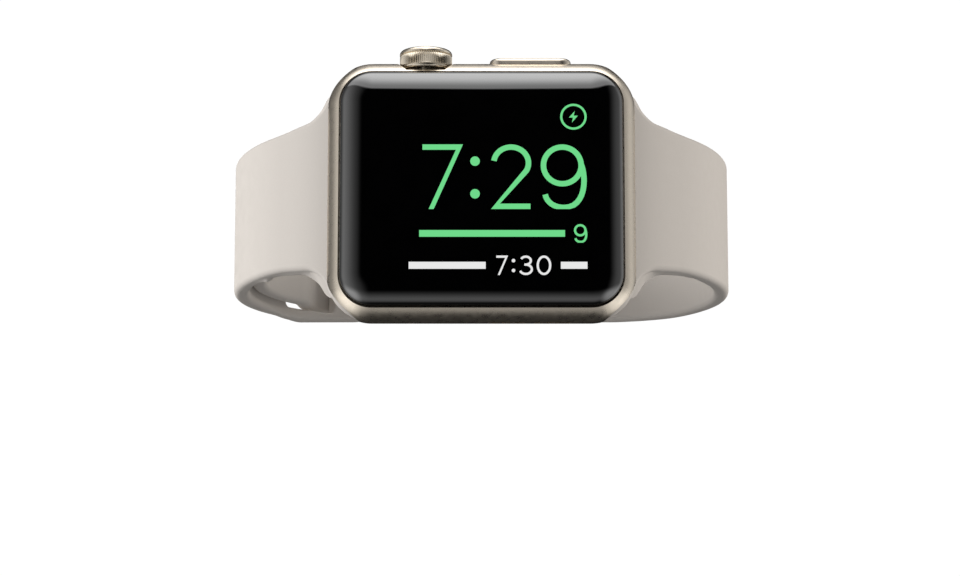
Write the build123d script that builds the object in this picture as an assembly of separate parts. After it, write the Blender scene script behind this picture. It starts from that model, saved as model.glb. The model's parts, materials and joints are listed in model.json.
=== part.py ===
"""Smartwatch on its side with the crown up, its strap closed by a pin-and-tuck closure.

Watch frame, millimetres: X along the case's long side, Y from the screen to the back, Z from the
speaker side to the crown side, origin in the middle of the case's rounded sides. main() leans the
finished watch back until the rear of the strap touches the table, and puts the origin on the
table, under the middle of the watch.
"""
from build123d import *
import math
import os

# Case
CASE_X, CASE_Z = 42.0, 35.9
CASE_CORNER = 6.2
SIDE_RADIUS = 3.9  # the sides are a full round of this radius
RIM = 1.64  # width of the rim round the glass, seen from the front
GLASS_GAP = 0.13
GLASS_SEAT_Y = -2.4
GLASS_EDGE = 2.0  # radius of the glass's rounded edge
GLASS_APEX_Y = -5.3
GASKET = 0.15
CAVITY_X, CAVITY_Z, CAVITY_CORNER = 31.2, 30.6, 3.5
CAVITY_BACK_Y = 2.9
BOSS_X, BOSS_Z, BOSS_RADIUS = 13.9, 13.5, 1.1
SCREW_RADIUS, SCREW_HEAD_RADIUS = 0.45, 0.8

# Back cover, sensors and charging coil
COVER_RADIUS, COVER_HOLE_RADIUS = 13.0, 12.0
COVER_SEAT_Y, COVER_EDGE_Y, COVER_APEX_Y, COVER_CEILING_Y = 3.3, 3.95, 5.2, 3.75
WINDOW_RADIUS, WINDOW_PITCH = 1.75, 4.8
COIL_TURNS, COIL_INNER, COIL_PITCH, COIL_WIRE = 8, 5.95, 0.62, 0.25

# Crown and side button
CROWN_X, CROWN_RADIUS, CROWN_TOP_Z, CROWN_FOOT_Z = -7.6, 3.6, 19.8, 17.0
CROWN_TRAVEL = 0.4
SHAFT_RADIUS, SHAFT_END_Z = 1.15, 11.6
RUNNING_GAP = 0.05
BUTTON_X, BUTTON_LENGTH, BUTTON_WIDTH, BUTTON_TOP_Z = 6.7, 11.1, 3.2, 18.6
BUTTON_TRAVEL = 0.35

# Strap channels in the case's two ends, and the latches that hold the straps in them
CHANNEL_X, CHANNEL_Y, CHANNEL_RADIUS = 18.9, 0.5, 2.4
LUG_RADIUS = 2.3
LATCH_X, LATCH_WIDTH, LATCH_LENGTH, LATCH_TRAVEL = 17.3, 1.7, 6.6, 0.5
LUG_FLAT_Y = 2.2

# Strap: the loop is three tangent arcs a side, from the case round to the rear
STRAP, STRAP_GAP = 2.2, 0.25
LIFT = STRAP + STRAP_GAP  # from one layer of strap to the next
EXIT_X, EXIT_Y, EXIT_HEADING = 20.6, 0.9, 38.0
SIDE_X = 34.9
TURN_RADIUS, TURN_HEADING = 27.0, 150.0
HALF_WIDTH, TAIL_HALF_WIDTH = 9.75, 8.0
FLARE = (
    (19.0, 14.6),
    (20.5, 13.8),
    (21.5, 12.2),
    (22.4, 11.3),
    (23.6, 10.55),
    (25.4, 10.2),
    (28.0, 9.85),
    (31.0, 9.75),
)  # half width of the strap against x, where it leaves the case
# Half width against x round the rear: the pin strap swells beside its window
PIN_WIDTHS = ((-40.0, HALF_WIDTH), (-31.2, HALF_WIDTH), (-28.6, 10.25), (-14.0, 8.5))
LONG_WIDTHS = ((-40.0, TAIL_HALF_WIDTH), (-5.0, TAIL_HALF_WIDTH), (30.0, HALF_WIDTH), (40.0, HALF_WIDTH))
STUD_S = 20.0  # every S is a distance along the loop from its rear centre, positive to the left
PIN_TIP_S, TAIL_TIP_S = 14.4, 66.0
RAMP_START_S, RAMP_END_S = 0.5, 8.8
DIVE_START_S, DIVE_END_S = 25.0, 34.0
WINDOW_START_S, WINDOW_END_S = 24.3, 34.9
WINDOW_GAP, WINDOW_CORNER = 0.35, 1.0
HOLE_PITCH, HOLE_RADIUS, HOLES_BEFORE, HOLES_AFTER = 8.5, 1.9, 4, 2
STUD_NECK, STUD_HEAD = 1.6, 2.6
PIN_TIP_CORNER, TAIL_TIP_CORNER, SWELL_RADIUS = 5.5, 7.0, 4.0
REAR_Y = 44.0  # behind this the straps' widths go by x
INTO_LUG = 1.6  # how far the straps run on into the bars in the case
FLAT = 0.25  # depth of the flats that the soft strap has where it rests on the table


def block(x, y, z):
    """A box between three pairs of limits."""
    size = [b - a for a, b in (x, y, z)]
    middle = [(a + b) / 2 for a, b in (x, y, z)]
    return Pos(*middle) * Box(*size)


def slab(outline, y_front, y_back, at=(0.0, 0.0)):
    """An outline drawn in X and Z, as a plate from y_front to y_back."""
    return extrude(Plane.XZ.offset(-y_back) * Pos(*at) * outline, y_back - y_front, dir=(0, -1, 0))


def column(outline, z_low, z_high, at=(0.0, 0.0)):
    """An outline drawn in X and Y, as a bar from z_low to z_high."""
    return extrude(Pos(at[0], at[1], z_low) * outline, z_high - z_low, dir=(0, 0, 1))


def ring(outer, inner):
    return Circle(outer) - Circle(inner)


def face_edges(shape, axis, last):
    """The edges of a shape's first or last face along an axis."""
    return shape.faces().sort_by(axis)[-1 if last else 0].edges()


# ---------------------------------------------------------------- case


def case_body():
    """The case's outside, with no openings."""
    body = slab(RectangleRounded(CASE_X, CASE_Z, CASE_CORNER), -SIDE_RADIUS, SIDE_RADIUS)
    radius = SIDE_RADIUS - 0.02
    body = fillet(face_edges(body, Axis.Y, False), radius)
    return fillet(face_edges(body, Axis.Y, True), radius)


def latch_outline(gap):
    """Plan of a latch button, its long side along Z."""
    return SlotOverall(LATCH_LENGTH + 2 * gap, LATCH_WIDTH + 2 * gap, rotation=90)


def case_shell(body):
    glass_x, glass_z = CASE_X - 2 * RIM, CASE_Z - 2 * RIM
    shell = body - slab(RectangleRounded(glass_x, glass_z, CASE_CORNER - RIM), -5, GLASS_SEAT_Y)
    shell -= slab(RectangleRounded(CAVITY_X, CAVITY_Z, CAVITY_CORNER), -3, CAVITY_BACK_Y)
    for x in (-BOSS_X, BOSS_X):
        for z in (-BOSS_Z, BOSS_Z):
            shell += slab(ring(BOSS_RADIUS, SCREW_RADIUS), -1.5, CAVITY_BACK_Y, (x, z))
    shell -= slab(Circle(COVER_HOLE_RADIUS), 2, 5)
    shell -= slab(Circle(COVER_RADIUS + 0.05), COVER_SEAT_Y, 5)
    shell -= column(Circle(4.0), CROWN_FOOT_Z - 0.5, 20, (CROWN_X, 0))
    shell -= column(Circle(2.2), 15, 20, (CROWN_X, 0))
    shell -= column(SlotOverall(BUTTON_LENGTH + 0.2, BUTTON_WIDTH + 0.2), 16.4, 20, (BUTTON_X, 0))
    shell -= column(Circle(0.8 + RUNNING_GAP), 15, 17, (BUTTON_X, 0))
    for x in (3.4, 9.6):
        shell -= column(SlotOverall(5.2, 1.1), -20, -15, (x, 0))
    shell -= column(Circle(0.45), -20, -15, (-9.5, 0))
    for side in (-1, 1):
        shell -= column(Circle(CHANNEL_RADIUS), -20, 20, (side * CHANNEL_X, CHANNEL_Y))
        shell -= slab(latch_outline(0.1), 2.1, 5, (side * LATCH_X, 0))
        shell -= slab(latch_outline(0.4), 2.1, 3.15, (side * LATCH_X, 0))
    return shell - service_port_cover()


def service_port_cover():
    """Plug over the service contacts, in the wall of the right-hand strap channel."""
    plug = Pos(16.0, CHANNEL_Y, 8.5) * Box(1.4, 1.2, 5.0)
    return plug - column(Circle(CHANNEL_RADIUS), 0, 20, (CHANNEL_X, CHANNEL_Y))


def cover_glass():
    x, z = (size - 2 * (RIM + GLASS_GAP) for size in (CASE_X, CASE_Z))
    outline = RectangleRounded(x, z, CASE_CORNER - RIM - GLASS_GAP)
    glass = slab(outline, GLASS_APEX_Y, GLASS_SEAT_Y - GASKET)
    return fillet(face_edges(glass, Axis.Y, False), GLASS_EDGE)


def display_gasket():
    outline = RectangleRounded(37.8, 31.8, 4.2) - RectangleRounded(32.6, 30.9, 3.6)
    return slab(outline, GLASS_SEAT_Y - GASKET, GLASS_SEAT_Y)


def display_panel():
    return slab(RectangleRounded(30.8, 26.2, 1.2), -2.55, -1.8)


def display_flex():
    """Ribbon from the panel's lower edge, down past the battery to the logic module."""
    drop = block((-4.0, 0.0), (-1.8, 1.5), (-10.35, -10.2))
    return drop + block((-4.0, 0.0), (-1.8, -1.7), (-12.5, -10.2))


def light_sensor():
    return block((11.0, 13.0), (-2.55, -1.9), (13.3, 14.3))


# ---------------------------------------------------------------- inside the case


def inner_frame():
    """Thin plate under the display, with a notch for the crown and cut-outs for the flex and button."""
    plate = slab(RectangleRounded(30.4, 29.6, 3.0), -1.65, -1.5)
    plate -= block((-11.4, -3.8), (-2, -1), (9.0, 16))
    plate -= block((2.8, 10.6), (-2, -1), (12.7, 16))
    plate -= block((-4.3, 0.3), (-2, -1), (-12.7, -10.0))
    for x in (-BOSS_X, BOSS_X):
        for z in (-BOSS_Z, BOSS_Z):
            plate -= slab(Circle(SCREW_RADIUS + 0.1), -2, -1, (x, z))
    return plate


def frame_screws():
    one = slab(Circle(SCREW_HEAD_RADIUS), -1.75, -1.65) + slab(Circle(SCREW_RADIUS - 0.01), -1.65, 0.2)
    one -= slab(Rectangle(0.9, 0.16), -1.8, -1.72)
    places = [(x, z) for x in (-BOSS_X, BOSS_X) for z in (-BOSS_Z, BOSS_Z)]
    return Compound([Pos(x, 0, z) * one for x, z in places])


def battery():
    return block((-15.2, 4.6), (-1.4, 1.3), (-9.8, 8.8))


def battery_pad():
    return block((-14.6, 4.0), (1.3, 1.45), (-9.2, 8.2))


def logic_module():
    board = block((-14.9, 14.9), (1.5, 1.75), (-12.2, 9.0))
    return board + block((-13.8, 13.8), (1.75, 2.35), (-11.4, 8.0))


def haptic_housing():
    outside = block((5.2, 15.2), (-1.4, 1.4), (-9.8, 8.8))
    return outside - block((5.5, 14.9), (-1.1, 1.1), (-9.5, 8.5))


def haptic_mass():
    return block((6.7, 13.7), (-0.95, 0.95), (-9.2, 8.2))


def haptic_springs():
    """A bent leaf at each end of the moving mass."""
    leaves = []
    for side in (-1, 1):
        x = 10.2 + side * 4.1
        bow = ThreePointArc((x - side * 0.35, -6.5), (x + side * 0.35, 0), (x - side * 0.35, 6.5))
        leaves.append(slab(trace(bow, line_width=0.12), -0.8, 0.8))
    return Compound(leaves)


def speaker_module():
    body = block((0.6, 12.4), (-1.3, 1.3), (-15.0, -10.8))
    return body - block((1.4, 11.6), (-0.7, 0.7), (-16, -14.2))


def speaker_mesh():
    return block((0.6, 12.4), (-0.95, 0.95), (-15.3, -15.1))


def microphone():
    body = block((-11.2, -7.8), (-1.1, 1.1), (-15.0, -13.2))
    return body - column(Circle(0.4), -16, -14.4, (-9.5, 0))


def microphone_mesh():
    return block((-10.6, -8.4), (-0.9, 0.9), (-15.3, -15.1))


def radio_module():
    return block((-1.2, 14.4), (-1.3, 1.3), (9.5, 12.2))


# ---------------------------------------------------------------- back cover


def dome(y_edge=COVER_EDGE_Y):
    """The back cover's outside, a low dome on a disc."""
    rise = COVER_APEX_Y - y_edge
    bow = (COVER_RADIUS**2 + rise**2) / (2 * rise)
    half = COVER_RADIUS / 2
    middle = (half, COVER_APEX_Y - (bow - math.sqrt(bow**2 - half**2)))
    outline = [
        Line((0, COVER_SEAT_Y + GASKET), (COVER_RADIUS, COVER_SEAT_Y + GASKET)),
        Line((COVER_RADIUS, COVER_SEAT_Y + GASKET), (COVER_RADIUS, y_edge)),
        ThreePointArc((COVER_RADIUS, y_edge), middle, (0, COVER_APEX_Y)),
        Line((0, COVER_APEX_Y), (0, COVER_SEAT_Y + GASKET)),
    ]
    return revolve(make_face(outline), Axis.Y)


def window_places():
    half = WINDOW_PITCH / 2
    return [(x, z) for x in (-half, half) for z in (-half, half)]


def back_cover():
    cover = dome() - slab(Circle(11.0), 3, COVER_CEILING_Y)
    for place in window_places():
        cover -= slab(Circle(WINDOW_RADIUS), 3, 6, place)
    return cover


def sensor_windows():
    glass = dome() & slab(Rectangle(12, 12), COVER_CEILING_Y, 6)
    return Compound([(glass & slab(Circle(WINDOW_RADIUS), 3, 6, place)).solid() for place in window_places()])


def back_gasket():
    return slab(ring(12.9, 12.1), COVER_SEAT_Y, COVER_SEAT_Y + GASKET)


def sensor_board():
    return slab(Circle(5.2), 2.9, 3.15)


def sensor_chips():
    return Compound([slab(Rectangle(1.9, 1.9), 3.15, 3.65, place) for place in window_places()])


def alignment_magnet():
    return slab(Circle(4.6), 2.45, 2.85)


def coil_ferrite():
    return slab(ring(11.0, 5.6), 2.85, 3.1)


def charging_coil():
    turns = [COIL_INNER + k * COIL_PITCH for k in range(COIL_TURNS)]
    return Compound([Pos(0, 3.4, 0) * Rot(90, 0, 0) * Torus(r, COIL_WIRE) for r in turns])


# ---------------------------------------------------------------- crown


def at_crown(shape):
    return Pos(CROWN_X, 0, 0) * shape


def crown_knob():
    knob = column(Circle(CROWN_RADIUS), CROWN_FOOT_Z, CROWN_TOP_Z)
    knob = fillet(face_edges(knob, Axis.Z, True), 0.55)
    knob = fillet(face_edges(knob, Axis.Z, False), 0.25)
    knob -= column(Circle(2.5), CROWN_TOP_Z - 0.3, 20)
    return at_crown(knob - column(Circle(SHAFT_RADIUS), 16, 18.6))


def crown_cap():
    """The disc set in the crown's outer end."""
    cap = column(Circle(2.5), CROWN_TOP_Z - 0.3, CROWN_TOP_Z + 0.05)
    return at_crown(fillet(face_edges(cap, Axis.Z, True), 0.15))


def crown_shaft():
    return at_crown(column(Circle(SHAFT_RADIUS), SHAFT_END_Z, 18.6))


def crown_encoder_ring():
    return at_crown(column(ring(1.7, SHAFT_RADIUS), 12.1, 13.1))


def crown_sleeve():
    sleeve = column(Circle(2.2), 13.6, 16.45) + column(Circle(2.3), 13.6, 14.6)
    sleeve -= column(Circle(SHAFT_RADIUS + RUNNING_GAP), 13, 17)
    return at_crown(sleeve - column(Circle(1.78), 14.6, 16.1))


def crown_seals():
    """Two O-rings between the shaft and the sleeve."""
    return Compound([at_crown(Pos(0, 0, z) * Torus(1.47, 0.27)) for z in (15.0, 15.7)])


def crown_sensor():
    return block((-5.3, -4.3), (-0.9, 0.9), (11.9, 13.3))


def crown_thrust_plate():
    return at_crown(column(Circle(1.7), SHAFT_END_Z - 0.4, SHAFT_END_Z - RUNNING_GAP))


def crown_switch():
    return at_crown(block((-1.8, 1.8), (-1.2, 1.2), (9.95, SHAFT_END_Z - 0.4 - CROWN_TRAVEL - 0.05)))


def crown_bracket():
    return block((-10.6, -4.2), (-1.3, 1.35), (9.4, 9.95))


# ---------------------------------------------------------------- side button


def side_button():
    cap = column(SlotOverall(BUTTON_LENGTH, BUTTON_WIDTH), 16.9, BUTTON_TOP_Z, (BUTTON_X, 0))
    cap = fillet(face_edges(cap, Axis.Z, True), 0.5)
    return cap + column(Circle(0.8), 14.6, 17.0, (BUTTON_X, 0))


def side_button_seal():
    return column(ring(1.5, 0.87), 14.85, 15.25, (BUTTON_X, 0))


def side_button_switch():
    return block((BUTTON_X - 1.6, BUTTON_X + 1.6), (-1.1, 1.1), (13.3, 14.15))


def side_button_bracket():
    return block((3.1, 10.3), (-1.3, 1.3), (12.75, 13.3))


# ---------------------------------------------------------------- latches, for side -1 or 1


def latch_button(side, body):
    """Flush with the case's back, with a foot that keeps it in."""
    stem = slab(latch_outline(0), 2.85, 5, (side * LATCH_X, 0)) & body
    return stem + slab(latch_outline(0.3), 2.85, 3.1, (side * LATCH_X, 0))


def latch_catch(side):
    """The sprung tongue in the strap's lug that the latch button pushes down."""
    tongue = block((17.05, 18.35), (1.45, 3.0), (-2.6, 2.6))
    tongue &= column(Circle(LUG_RADIUS), -5, 5, (CHANNEL_X, CHANNEL_Y))
    return mirror(tongue, Plane.YZ) if side < 0 else tongue


def catch_spring(side):
    """An arched leaf under the catch, carried by it."""
    bow = ThreePointArc((0.84, -2.2), (1.37, 0), (0.84, 2.2))
    leaf = extrude(Plane.YZ.offset(17.3) * trace(bow, line_width=0.12), 0.8)
    return mirror(leaf, Plane.YZ) if side < 0 else leaf


def lug_insert(side):
    bar = block((19.0, 20.0), (-0.6, 0.6), (-11, 11))
    return mirror(bar, Plane.YZ) if side < 0 else bar


# ---------------------------------------------------------------- strap


def smooth_step(t):
    t = min(1.0, max(0.0, t))
    return t * t * (3 - 2 * t)


def loop_arcs():
    """The left half of the loop from the rear: (start heading, end heading, centre x, centre y, radius)."""
    exit_angle, turn_angle = math.radians(EXIT_HEADING), math.radians(TURN_HEADING)
    side_radius = (SIDE_X - EXIT_X) / (1 - math.sin(exit_angle))
    side_y = EXIT_Y + side_radius * math.cos(exit_angle)
    rear_radius = (SIDE_X - TURN_RADIUS) / math.sin(turn_angle) + TURN_RADIUS
    turn_x = TURN_RADIUS - SIDE_X
    rear_y = side_y + (rear_radius - TURN_RADIUS) * math.cos(turn_angle)
    return [
        (math.pi, turn_angle, 0.0, rear_y, rear_radius),
        (turn_angle, math.pi / 2, turn_x, side_y, TURN_RADIUS),
        (math.pi / 2, exit_angle, side_radius - SIDE_X, side_y, side_radius),
    ]


def loop_joins():
    """Every S where one arc of the loop meets the next, or the straight end in the case."""
    found, total = [0.0], 0.0
    for start, end, _, _, radius in loop_arcs():
        total += radius * (start - end)
        found += [-total, total]
    return found


def loop_point(s, offset=0.0):
    """The point at distance s along the loop and offset mm outside it, and the outward normal."""
    left = abs(s)
    for start, end, x, y, radius in loop_arcs():
        length = radius * (start - end)
        heading = start - min(left, length) / radius
        straight_on = max(0.0, left - length)
        if left <= length:
            break
        left -= length
    out = (-math.sin(heading), -math.cos(heading))
    px = x + (radius + offset) * out[0] + straight_on * math.cos(heading)
    py = y + (radius + offset) * out[1] - straight_on * math.sin(heading)
    side = 1 if s >= 0 else -1
    return (side * px, py), (side * out[0], out[1])


def layer_of_long_strap(s):
    """Offset of the long strap: over the pin strap's tip, then down through its window and inside."""
    up = LIFT * smooth_step((s - RAMP_START_S) / (RAMP_END_S - RAMP_START_S))
    return up - 2 * LIFT * smooth_step((s - DIVE_START_S) / (DIVE_END_S - DIVE_START_S))


def layer_of_pin_strap(s):
    return 0.0


def double_bend(start, end, start_normal, end_normal):
    """Two arcs that meet smoothly between two points where the strap runs square to the normals."""
    leave, arrive = (Vector(y, -x) for x, y in (start_normal, end_normal))
    span = Vector(*end) - Vector(*start)
    if span.dot(leave) < 0:
        leave, arrive = -leave, -arrive
    both = span.dot(leave + arrive)
    turn = 2 * (1 - leave.dot(arrive))
    reach = (math.sqrt(both**2 + turn * span.dot(span)) - both) / turn
    middle = (Vector(*start) + leave * reach + Vector(*end) - arrive * reach) / 2
    first = TangentArc(start, middle, tangent=leave)
    return [first, TangentArc(end, middle, tangent=-arrive)]


def face_line(layer, start, end, face):
    """One face of a strap in plan, face -1 for the inside and 1 for the outside."""

    def at(s):
        return loop_point(s, layer(s) + face * STRAP / 2)[0]

    bends = [RAMP_START_S, RAMP_END_S, DIVE_START_S, DIVE_END_S]
    stops = sorted({start, end, *(s for s in loop_joins() + bends if start < s < end)})
    pieces = []
    for a, b in zip(stops, stops[1:]):
        middle = (a + b) / 2
        if abs(layer(middle) - layer(a)) > 1e-6:
            pieces += double_bend(at(a), at(b), loop_point(a)[1], loop_point(b)[1])
        elif abs(middle) > max(loop_joins()):
            pieces.append(Line(at(a), at(b)))
        else:
            pieces.append(ThreePointArc(at(a), at(middle), at(b)))
    return pieces, at(stops[0]), at(stops[-1])


def strap_band(layer, start, end):
    """The strap as wide as it could be, before its width is cut."""
    outer, outer_start, outer_end = face_line(layer, start, end, 1)
    inner, inner_start, inner_end = face_line(layer, start, end, -1)
    ends = [Line(outer_start, inner_start), Line(outer_end, inner_end)]
    return column(make_face(outer + inner + ends), -15, 15)


def flared_end(side):
    """Width of a strap where it leaves the case, down the front of the loop."""
    top = [(side * x, z) for x, z in FLARE]
    low = [(x, -z) for x, z in top]
    far = side * 40
    edges = [
        Spline(*top),
        Polyline(top[-1], (far, HALF_WIDTH), (far, -HALF_WIDTH), low[-1]),
        Spline(*low),
        Line(low[0], top[0]),
    ]
    width = slab(make_face(edges), -6, 12)
    low_x, high_x = sorted((side * 15, far))
    return width + block((low_x, high_x), (12, REAR_Y), (-HALF_WIDTH, HALF_WIDTH))


def half_width(widths, x):
    """Half width at x, on straight lines between the given points."""
    x = min(widths[-1][0], max(widths[0][0], x))
    (x0, z0), (x1, z1) = next(pair for pair in zip(widths, widths[1:]) if x <= pair[1][0])
    return z0 + (z1 - z0) * (x - x0) / (x1 - x0)


def rear_width(widths):
    """The outline of a strap's width round the rear, in X and Z."""
    return make_face(Polyline(*widths, *((x, -z) for x, z in reversed(widths)), close=True))


def strap_lug(side):
    """The bar that slides in the case's channel, with a flat under the latch."""
    bar = column(Circle(LUG_RADIUS), -18, 18, (CHANNEL_X, CHANNEL_Y))
    inset = 0.5
    ends = RectangleRounded(CASE_X - 2 * inset, CASE_Z - 2 * inset, CASE_CORNER - inset)
    bar &= slab(ends, -5, 5)
    bar -= block((10, 18.7), (LUG_FLAT_Y, 5), (-20, 20))
    return mirror(bar, Plane.YZ) if side < 0 else bar


def lug_pockets(side):
    pocket = block((16.95, 18.45), (0.2, 5), (-2.7, 2.7)) + block((19.0, 20.0), (-0.6, 0.6), (-11, 11))
    return mirror(pocket, Plane.YZ) if side < 0 else pocket


def across_loop(s, layer=layer_of_pin_strap):
    """The plane on a strap at s, its normal pointing out of the loop."""
    step = 0.01
    (ax, ay), _ = loop_point(s - step, layer(s - step))
    (bx, by), _ = loop_point(s + step, layer(s + step))
    middle, outward = loop_point(s, layer(s))
    normal = Vector(by - ay, ax - bx, 0).normalized()
    if normal.dot(Vector(*outward, 0)) < 0:
        normal = -normal
    return Plane(origin=(*middle, 0), x_dir=(0, 0, 1), z_dir=normal)


def pin_strap():
    end = max(loop_joins()) + INTO_LUG
    tip = loop_point(PIN_TIP_S)[0][0]
    rear = rear_width([*PIN_WIDTHS[:-1], (tip, half_width(PIN_WIDTHS, tip))])
    corners = rear.vertices().sort_by(Axis.X)
    rear = fillet(corners[-2:], PIN_TIP_CORNER)
    rear = fillet(rear.vertices().sort_by(Axis.X)[2:6], SWELL_RADIUS)
    width = flared_end(-1) + slab(rear, REAR_Y, 70)
    strap = (strap_band(layer_of_pin_strap, PIN_TIP_S, end) & width) + strap_lug(-1)
    strap -= lug_pockets(-1)
    strap -= tuck_window()
    return strap - across_loop(STUD_S) * Cylinder(STUD_NECK, 6) - under_table()


def tuck_window():
    """The opening that the long strap's tail goes in through."""
    plane = across_loop((WINDOW_START_S + WINDOW_END_S) / 2)
    width = 2 * (TAIL_HALF_WIDTH + WINDOW_GAP)
    outline = RectangleRounded(width, WINDOW_END_S - WINDOW_START_S, WINDOW_CORNER)
    return extrude(plane * outline, 4, both=True)


def long_strap():
    end = -max(loop_joins()) - INTO_LUG
    tip = loop_point(TAIL_TIP_S, -LIFT)[0][1]
    tail = Pos(tip + 30, 0) * RectangleRounded(60, 2 * TAIL_HALF_WIDTH, TAIL_TIP_CORNER)
    width = flared_end(1) + slab(rear_width(LONG_WIDTHS), REAR_Y, 70)
    width += extrude(Plane.YZ.offset(-40) * tail, 30) & block((-40, -10), (0, REAR_Y), (-20, 20))
    strap = (strap_band(layer_of_long_strap, end, TAIL_TIP_S) & width) + strap_lug(1)
    strap -= lug_pockets(1)
    for s in hole_places():
        strap -= across_loop(s, layer_of_long_strap) * Cylinder(HOLE_RADIUS, 6)
    return strap - under_table()


def hole_places():
    return [STUD_S + k * HOLE_PITCH for k in range(-HOLES_BEFORE, HOLES_AFTER + 1)]


def disc(radius, low, high):
    """A disc across the local Z axis."""
    return Pos(0, 0, (low + high) / 2) * Cylinder(radius, high - low)


def strap_stud():
    """Neck and head; the head stands outside the long strap's hole."""
    under_head = LIFT + STRAP / 2 + 0.1
    head = disc(STUD_HEAD, under_head, under_head + 0.8)
    head = fillet(face_edges(head, Axis.Z, True), 0.35)
    return across_loop(STUD_S) * (disc(STUD_NECK, -STRAP / 2, under_head) + head)


def stud_backing():
    """Disc that holds the stud from inside the pin strap."""
    backing = disc(3.0, -STRAP / 2 - 0.9, -STRAP / 2 - 0.25)
    backing = fillet(face_edges(backing, Axis.Z, False), 0.2) + disc(1.5, -STRAP / 2 - 0.25, -STRAP / 2)
    return across_loop(STUD_S) * backing


# ---------------------------------------------------------------- whole watch


def strap_edges():
    """(y, half width) round the rear of the straps' outer faces, for the way the watch rests."""
    found = []
    for s in range(-60, 61):
        x, y = loop_point(s, layer_of_long_strap(s) + STRAP / 2)[0]
        found.append((y, half_width(LONG_WIDTHS, x)))
        if s > PIN_TIP_S + PIN_TIP_CORNER:
            x, y = loop_point(s, STRAP / 2)[0]
            found.append((y, half_width(PIN_WIDTHS, x)))
    return found


def case_depth(lean):
    """How far the case reaches below its middle when it leans back by that angle."""
    return (CASE_Z / 2 - SIDE_RADIUS) * math.cos(math.radians(lean)) + SIDE_RADIUS


def resting_lean():
    """The angle in degrees at which the case and the flats on the rear of its strap both rest on the table."""
    low, high = 0.0, 20.0
    edges = strap_edges()
    for _ in range(40):
        lean = (low + high) / 2
        c, s = math.cos(math.radians(lean)), math.sin(math.radians(lean))
        strap_depth = max(half * c + y * s for y, half in edges)
        low, high = (lean, high) if strap_depth - FLAT < case_depth(lean) else (low, lean)
    return low


def under_table():
    """Everything below the table, which gives the straps their flats."""
    lean = resting_lean()
    return Rot(lean, 0, 0) * block((-60, 60), (-60, 90), (-60, -case_depth(lean)))


def build():
    """Every node's shape in the watch frame."""
    body = case_body()
    simple = [
        cover_glass, display_gasket, display_panel, display_flex, light_sensor, inner_frame, frame_screws,
        battery, battery_pad, logic_module, haptic_housing, haptic_mass, haptic_springs, speaker_module,
        speaker_mesh, microphone, microphone_mesh, radio_module, back_cover, sensor_windows, back_gasket,
        sensor_board, sensor_chips, alignment_magnet, coil_ferrite, charging_coil, crown_knob, crown_cap,
        crown_shaft, crown_encoder_ring, crown_sleeve, crown_seals, crown_sensor, crown_thrust_plate,
        crown_switch, crown_bracket, side_button, side_button_seal, side_button_switch,
        side_button_bracket, service_port_cover, pin_strap, long_strap, strap_stud, stud_backing,
    ]
    shapes = {make.__name__: make() for make in simple}
    shapes["case_shell"] = case_shell(body)
    for side, name in ((-1, "left"), (1, "right")):
        shapes[f"{name}_latch_button"] = latch_button(side, body)
        shapes[f"{name}_latch_catch"] = latch_catch(side)
        shapes[f"{name}_catch_spring"] = catch_spring(side)
        shapes[f"{name}_lug_insert"] = lug_insert(side)
    return shapes


def stance(shapes):
    """The move from the watch frame to the resting pose, with the origin on the table."""
    lean = Rot(-resting_lean(), 0, 0)
    boxes = [(lean * shape).bounding_box() for shape in shapes.values()]
    low = [min(getattr(box.min, axis) for box in boxes) for axis in "XYZ"]
    high = [max(getattr(box.max, axis) for box in boxes) for axis in "XYZ"]
    return Pos(-(low[0] + high[0]) / 2, -(low[1] + high[1]) / 2, -low[2]) * lean


def main():
    os.makedirs("parts", exist_ok=True)
    shapes = build()
    place = stance(shapes)
    for name, shape in shapes.items():
        export_step(place * shape, f"parts/{name}.step")
    print("lean", round(resting_lean(), 3), "origin shift", place.position)


if __name__ == "__main__":
    main()
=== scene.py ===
"""Looks of the smartwatch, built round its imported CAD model.

Shapes are worked out in the watch's own frame, in millimetres (X along the case's long side, Y from
the screen to the back, Z to the crown side, origin in the middle of the case), and placed by TO_ROW.
"""
import json
import math

import bmesh
import bpy
from mathutils import Matrix, Vector


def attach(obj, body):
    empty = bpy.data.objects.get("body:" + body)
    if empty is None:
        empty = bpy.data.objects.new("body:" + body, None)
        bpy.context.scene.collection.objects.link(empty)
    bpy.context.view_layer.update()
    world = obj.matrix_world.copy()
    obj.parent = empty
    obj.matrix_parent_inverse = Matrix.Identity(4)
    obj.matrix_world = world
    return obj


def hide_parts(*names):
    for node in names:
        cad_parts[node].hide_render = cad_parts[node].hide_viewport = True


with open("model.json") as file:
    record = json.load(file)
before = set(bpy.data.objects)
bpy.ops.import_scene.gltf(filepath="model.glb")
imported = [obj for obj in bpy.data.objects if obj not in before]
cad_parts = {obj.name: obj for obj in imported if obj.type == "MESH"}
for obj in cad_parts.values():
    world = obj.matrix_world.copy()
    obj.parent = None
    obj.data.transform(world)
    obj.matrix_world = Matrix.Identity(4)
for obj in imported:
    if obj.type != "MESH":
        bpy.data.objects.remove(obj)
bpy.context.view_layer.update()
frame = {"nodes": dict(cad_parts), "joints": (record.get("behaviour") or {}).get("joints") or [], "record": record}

# ------------------------------------------------------------------ sizes, in mm

MM = 0.001
CASE_X, CASE_Z, CASE_CORNER, SIDE_RADIUS = 42.0, 35.9, 6.2, 3.9
RIM = 1.64
GLASS_GAP = 0.26
GLASS_SEAT_Y, GLASS_EDGE_Y, GLASS_APEX_Y = -2.6, -3.75, -5.3
GLASS_DOME = 3.1  # width of the domed border
READOUT_PROUD, READOUT_SUNK = 0.012, 0.008

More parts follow.
